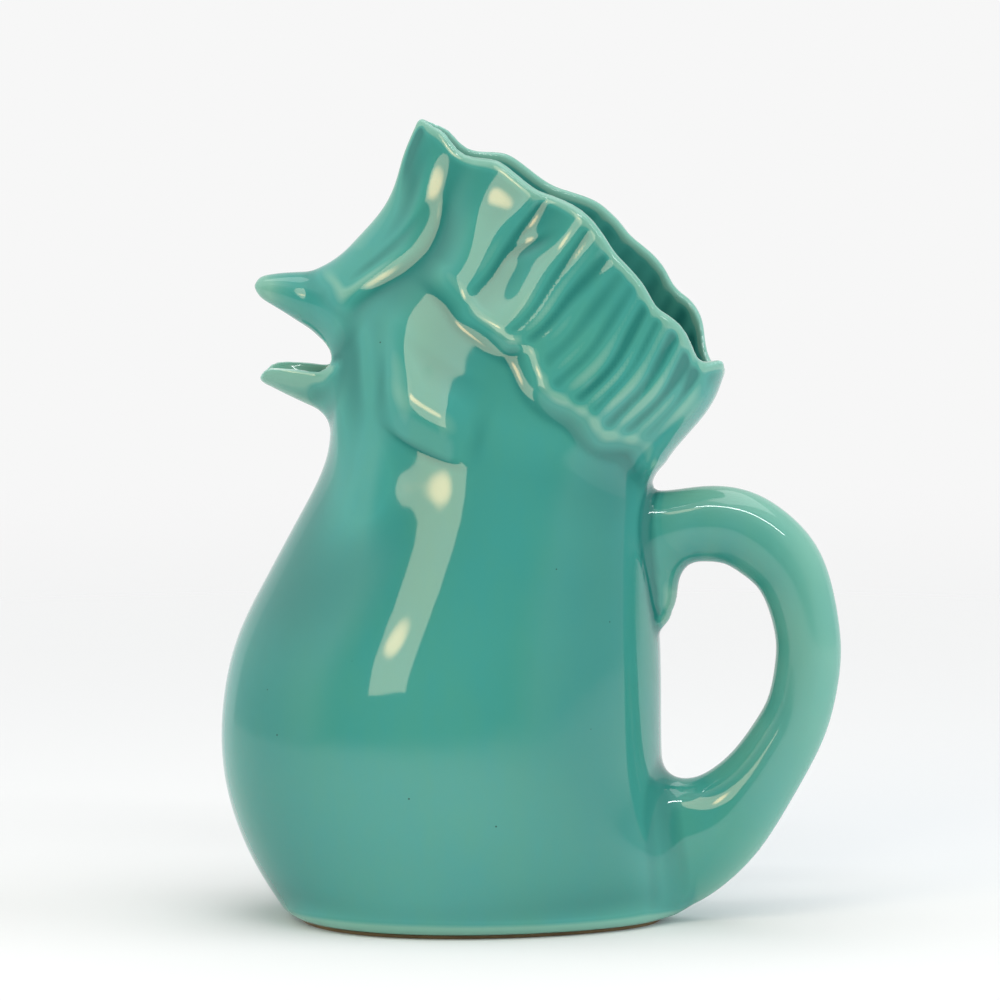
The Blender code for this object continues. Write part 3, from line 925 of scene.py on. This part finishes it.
class JugPiece:
    """What the operators for glazed pieces share."""

    bl_options = {"REGISTER"}
    pieces = ()

    def execute(self, context):
        size = sizes_mm(context)
        glaze = finish_of(GLAZE, glaze_material, context)
        for name, piece, side, low, high, step in self.pieces:
            make_piece(name, piece, side, low, high, step, size, glaze)
        return {"FINISHED"}


class JUG_OT_body(JugPiece, bpy.types.Operator):
    """Adds the cast body from the foot to the neck and head"""

    bl_idname = "jug.body"
    bl_label = "Body"
    pieces = (("body", "body_shell", 0, (-69, -56, 0), (80, 56, 202), 1.4),)


class JUG_OT_comb(JugPiece, bpy.types.Operator):
    """Adds the fluted comb, open at its rim"""

    bl_idname = "jug.comb"
    bl_label = "Comb"
    pieces = (("comb", "comb_collar", 0, (-42, -40, 118), (94, 40, 242), 0.9),)


class JUG_OT_beak(JugPiece, bpy.types.Operator):
    """Adds the two halves of the beak"""

    bl_idname = "jug.beak"
    bl_label = "Beak"
    pieces = (
        ("beak_upper", "upper_beak", 0, (-59, -16, 162), (-30, 16, 202), 0.7),
        ("beak_lower", "lower_beak", 0, (-59, -16, 138), (-30, 16, 174), 0.7),
    )


class JUG_OT_wattles(JugPiece, bpy.types.Operator):
    """Adds the wattles and ear lobes pressed on the head"""

    bl_idname = "jug.wattles"
    bl_label = "Wattles and ear lobes"
    pieces = (
        ("wattle_near", "wattle", -1, (-50, -44, 112), (-6, 0, 172), 0.8),
        ("wattle_far", "wattle", 1, (-50, 0, 112), (-6, 44, 172), 0.8),
        ("ear_lobe_near", "ear_lobe", -1, (-36, -46, 126), (36, 0, 178), 0.6),
        ("ear_lobe_far", "ear_lobe", 1, (-36, 0, 126), (36, 46, 178), 0.6),
    )


class JUG_OT_handle(JugPiece, bpy.types.Operator):
    """Adds the handle with the thumb of clay at its upper root"""

    bl_idname = "jug.handle"
    bl_label = "Handle"
    pieces = (("handle_strap", "handle", 0, (68, -26, 0), (124, 26, 140), 1.0),)


FOOT_CORNERS = 160


class JUG_OT_foot(bpy.types.Operator):
    """Adds the bare clay foot"""

    bl_idname = "jug.foot"
    bl_label = "Foot"

    def execute(self, context):
        size = sizes_mm(context)
        clay = finish_of(CLAY, clay_material, context)
        front, _, back, _, half_width, taper, _ = SECTIONS[0]
        half = (back - front) / 2
        turn = np.linspace(0, 2 * math.pi, FOOT_CORNERS, endpoint=False)
        top = size.foot_height
        inset = size.foot_inset
        inner = inset + size.foot_width
        profile = (
            (inset + 0.4, 0.0),
            (inset + 0.1, 0.2),
            (inset, 0.5),
            (inset, top),
            (inner, top),
            (inner, 0.4),
            (inner - 0.4, 0.0),
        )
        rings = []
        for inward, z in profile:
            xi = -np.cos(turn)
            x = (front + back) / 2 + (half - inward) * xi
            y = (half_width * (1 + taper * xi) - inward) * np.sin(turn)
            rings.append(np.stack([x + AXIS_X, y, np.full_like(x, z)], axis=1) * MM)
        faces = []
        for r in range(len(rings)):
            here = r * FOOT_CORNERS
            above = (r + 1) % len(rings) * FOOT_CORNERS
            for i in range(FOOT_CORNERS):
                after = (i + 1) % FOOT_CORNERS
                faces.append((here + i, here + after, above + after, above + i))
        mesh = bpy.data.meshes.new("foot")
        mesh.from_pydata(np.concatenate(rings).tolist(), [], faces)
        mesh.shade_smooth()
        mesh.set_sharp_from_angle(angle=math.radians(40))
        mesh.materials.append(clay)
        foot = bpy.data.objects.new("foot", mesh)
        context.scene.collection.objects.link(foot)
        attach(foot, "root")
        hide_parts("foot_ring")
        return {"FINISHED"}


TABLE_RADIUS = 1.0
TABLE_CORNERS = 96
SWEEP_WHITE = "#f7f7f7"

# What the glaze mirrors of the room, as directions from the jug. A wall is where all its ranges meet:
# axis, where it starts, where it is full, its two brightnesses, and how it rises between.
WALLS = (
    # The white sweep behind the jug, the table, and the ceiling.
    (("Y", 0.5, 0.62, 0.0, 1.0, "SMOOTHSTEP"),),
    (("Z", -0.04, -0.11, 0.0, 0.85, "LINEAR"),),
    (("Z", 0.5, 0.85, 0.0, 0.8, "SMOOTHSTEP"),),
    # The pale walls on the right and on the left; the room in front is dim.
    (("X", 0.2, 0.4, 0.0, 0.5, "LINEAR"), ("Y", -0.86, -0.7, 0.0, 1.0, "LINEAR")),
    (
        ("Z", 0.0, 0.4, 0.6, 1.0, "LINEAR"),
        ("Y", -0.75, -0.45, 0.0, 1.0, "SMOOTHSTEP"),
        ("X", -0.1, -0.4, 0.0, 1.0, "LINEAR"),
    ),
)

# Lamps: name, place, aim, width, height, watts, colour, and whether the glaze mirrors them.
LAMPS = (
    ("window", (-0.605, -1.427, 0.88), (-0.02, 0.0, 0.14), 0.53, 1.38, 8.0, "#ffe9c8", True),
    ("tube_light", (0.55, -1.15, 1.55), (0.55, 0.0, 0.14), 1.7, 0.05, 8.0, "#ffffff", True),
    ("ceiling", (0.1, 0.1, 1.7), (0.0, 0.0, 0.0), 1.5, 1.5, 11.0, "#ffffff", True),
    ("side_light", (-1.5, -0.1, 0.42), (0.0, 0.0, 0.1), 1.3, 0.8, 9.5, "#f2f7ff", False),
    ("side_light", (1.5, -0.1, 0.42), (0.0, 0.0, 0.1), 1.3, 0.8, 13.5, "#f2f7ff", False),
)

# The sun catches part of the window, about 10 degrees across with a soft edge.
SUN_WAY = (-0.397, -0.852, 0.342)
SUN_EDGE = 0.996
SUN_STRENGTH = 9.0

# The camera's turn and tilt in degrees, its distance and the width it sees in metres, and where it
# aims from the belly's axis: to the right and up.
CAMERA_TURN = 8.0
CAMERA_TILT = 8.0
CAMERA_AWAY = 6.0
CAMERA_SEES = 0.297
CAMERA_AIM = (0.01752, 0.12355)
SENSOR = 36.0


def area_lamp(name, place, aim, wide, tall, power, code, mirrored):
    """A soft rectangular lamp."""
    lamp = bpy.data.lights.new(name, "AREA")
    lamp.shape = "RECTANGLE"
    lamp.size = wide
    lamp.size_y = tall
    lamp.energy = power
    lamp.color = linear(code)[:3]
    made = bpy.data.objects.new(name, lamp)
    made.location = place
    made.rotation_euler = (Vector(aim) - Vector(place)).to_track_quat("-Z", "Y").to_euler()
    made.visible_glossy = mirrored
    bpy.context.scene.collection.objects.link(made)


class JUG_OT_stage(bpy.types.Operator):
    """Adds the floor, the lights, the background and the camera"""

    bl_idname = "jug.stage"
    bl_label = "Stage"

    def execute(self, context):
        self.add_floor(context)
        self.add_lights(context)
        self.add_camera(context)
        return {"FINISHED"}

    def add_floor(self, context):
        material, tree, output = new_material("pale_table")
        diffuse = node(
            tree, "ShaderNodeBsdfDiffuse", {"Color": linear("#ececec"), "Roughness": 0.0}
        ).outputs[0]
        clear = node(tree, "ShaderNodeBsdfTransparent").outputs[0]
        place = node(tree, "ShaderNodeTexCoord").outputs["Object"]
        far = node(tree, "ShaderNodeVectorMath", {0: place}, operation="LENGTH").outputs["Value"]
        fade = node(
            tree,
            "ShaderNodeMapRange",
            {"Value": far, "From Min": 0.18, "From Max": 0.95},
            interpolation_type="SMOOTHSTEP",
        ).outputs["Result"]
        mix = node(tree, "ShaderNodeMixShader", {0: fade, 1: diffuse, 2: clear})
        tree.links.new(mix.outputs[0], output.inputs["Surface"])
        mesh = bpy.data.meshes.new("table")
        turn = np.linspace(0, 2 * math.pi, TABLE_CORNERS, endpoint=False)
        mesh.from_pydata(
            [(TABLE_RADIUS * math.cos(a), TABLE_RADIUS * math.sin(a), 0.0) for a in turn],
            [],
            [tuple(range(TABLE_CORNERS))],
        )
        mesh.materials.append(material)
        table = bpy.data.objects.new("table", mesh)
        context.scene.collection.objects.link(table)

    def add_lights(self, context):
        world = bpy.data.worlds.new("studio")
        context.scene.world = world
        world.use_nodes = True
        tree = world.node_tree
        tree.nodes.clear()
        output = node(tree, "ShaderNodeOutputWorld")
        path = node(tree, "ShaderNodeLightPath").outputs
        way = node(tree, "ShaderNodeTexCoord").outputs["Generated"]
        split = node(tree, "ShaderNodeSeparateXYZ", {0: way}).outputs
        white = None
        for ranges in WALLS:
            wall = None
            for axis, start, full, dim, bright, rise in ranges:
                share = node(
                    tree,
                    "ShaderNodeMapRange",
                    {
                        "Value": split[axis],
                        "From Min": start,
                        "From Max": full,
                        "To Min": dim,
                        "To Max": bright,
                    },
                    interpolation_type=rise,
                ).outputs["Result"]
                if wall is not None:
                    both = node(tree, "ShaderNodeMath", {0: wall, 1: share}, operation="MULTIPLY")
                    share = both.outputs[0]
                wall = share
            if white is not None:
                both = node(tree, "ShaderNodeMath", {0: white, 1: wall}, operation="MAXIMUM")
                wall = both.outputs[0]
            white = wall
        # The camera sees the white sweep all round, the glaze mirrors the walls, and the rest of the
        # light is even.
        mirrored = node(
            tree,
            "ShaderNodeMix",
            {MIX_SHARE: white, MIX_FROM: linear("#5a625f"), MIX_TO: linear(SWEEP_WHITE)},
            data_type="RGBA",
        ).outputs[MIX_RESULT]
        seen = node(
            tree,
            "ShaderNodeMix",
            {MIX_SHARE: path["Is Camera Ray"], MIX_FROM: mirrored, MIX_TO: linear(SWEEP_WHITE)},
            data_type="RGBA",
        ).outputs[MIX_RESULT]
        plain = path["Is Camera Ray"]
        for ray in ("Is Glossy Ray", "Is Transmission Ray"):
            both = node(tree, "ShaderNodeMath", {0: plain, 1: path[ray]}, operation="MAXIMUM")
            plain = both.outputs[0]
        even = {"Color": linear("#f2f6f7"), "Strength": 0.53}
        soft = node(tree, "ShaderNodeBackground", even).outputs[0]
        shown = node(tree, "ShaderNodeBackground", {"Color": seen, "Strength": 1.0}).outputs[0]
        toward = node(
            tree, "ShaderNodeVectorMath", {0: way, 1: SUN_WAY}, operation="DOT_PRODUCT"
        ).outputs["Value"]
        sun = node(
            tree,
            "ShaderNodeMapRange",
            {"Value": toward, "From Min": SUN_EDGE, "From Max": 1.0, "To Max": SUN_STRENGTH},
            interpolation_type="SMOOTHSTEP",
        ).outputs["Result"]
        sun = node(
            tree, "ShaderNodeMath", {0: sun, 1: path["Is Glossy Ray"]}, operation="MULTIPLY"
        ).outputs[0]
        glow = {"Color": linear("#ffd096"), "Strength": sun}
        sun = node(tree, "ShaderNodeBackground", glow).outputs[0]
        shown = node(tree, "ShaderNodeAddShader", {0: shown, 1: sun}).outputs[0]
        mix = node(tree, "ShaderNodeMixShader", {0: plain, 1: soft, 2: shown})
        tree.links.new(mix.outputs[0], output.inputs["Surface"])
        for lamp in LAMPS:
            area_lamp(*lamp)

    def add_camera(self, context):
        data = bpy.data.cameras.new("photo_camera")
        camera = bpy.data.objects.new("photo_camera", data)
        context.scene.collection.objects.link(camera)
        context.scene.camera = camera
        azimuth = math.radians(CAMERA_TURN)
        elevation = math.radians(CAMERA_TILT)
        back = Vector(
            (
                math.sin(azimuth) * math.cos(elevation),
                -math.cos(azimuth) * math.cos(elevation),
                math.sin(elevation),
            )
        )
        right = Vector((math.cos(azimuth), math.sin(azimuth), 0.0))
        up = back.cross(right)
        aim = Vector((AXIS_X * MM, 0.0, 0.0)) + right * CAMERA_AIM[0] + up * CAMERA_AIM[1]
        data.sensor_width = SENSOR
        data.lens = SENSOR * CAMERA_AWAY / CAMERA_SEES
        data.clip_end = 50.0
        camera.location = aim + back * CAMERA_AWAY
        camera.rotation_euler = (-back).to_track_quat("-Z", "Y").to_euler()
        context.scene.view_settings.view_transform = "Standard"


class JUG_PT_panel(bpy.types.Panel):
    """Lists the jug's sizes, colours and pieces"""

    bl_idname = "JUG_PT_panel"
    bl_label = "Rooster jug"
    bl_space_type = "VIEW_3D"
    bl_region_type = "UI"
    bl_category = "Rooster jug"

    def draw(self, context):
        for group in (context.scene.jug_sizes, context.scene.jug_colours):
            for word in group.__annotations__:
                self.layout.prop(group, word)
        for operator in OPERATORS:
            self.layout.operator(operator.bl_idname)


OPERATORS = (
    JUG_OT_stage,
    JUG_OT_foot,
    JUG_OT_body,
    JUG_OT_comb,
    JUG_OT_beak,
    JUG_OT_wattles,
    JUG_OT_handle,
)
CLASSES = (JugSizes, JugColours, *OPERATORS, JUG_PT_panel)


def register():
    for made in CLASSES:
        bpy.utils.register_class(made)
    bpy.types.Scene.jug_sizes = bpy.props.PointerProperty(type=JugSizes)
    bpy.types.Scene.jug_colours = bpy.props.PointerProperty(type=JugColours)


def unregister():
    del bpy.types.Scene.jug_sizes
    del bpy.types.Scene.jug_colours
    for made in reversed(CLASSES):
        bpy.utils.unregister_class(made)


def main():
    register()
    for operator in OPERATORS:
        group, name = operator.bl_idname.split(".")
        getattr(getattr(bpy.ops, group), name)()


if __name__ == "__main__":
    main()
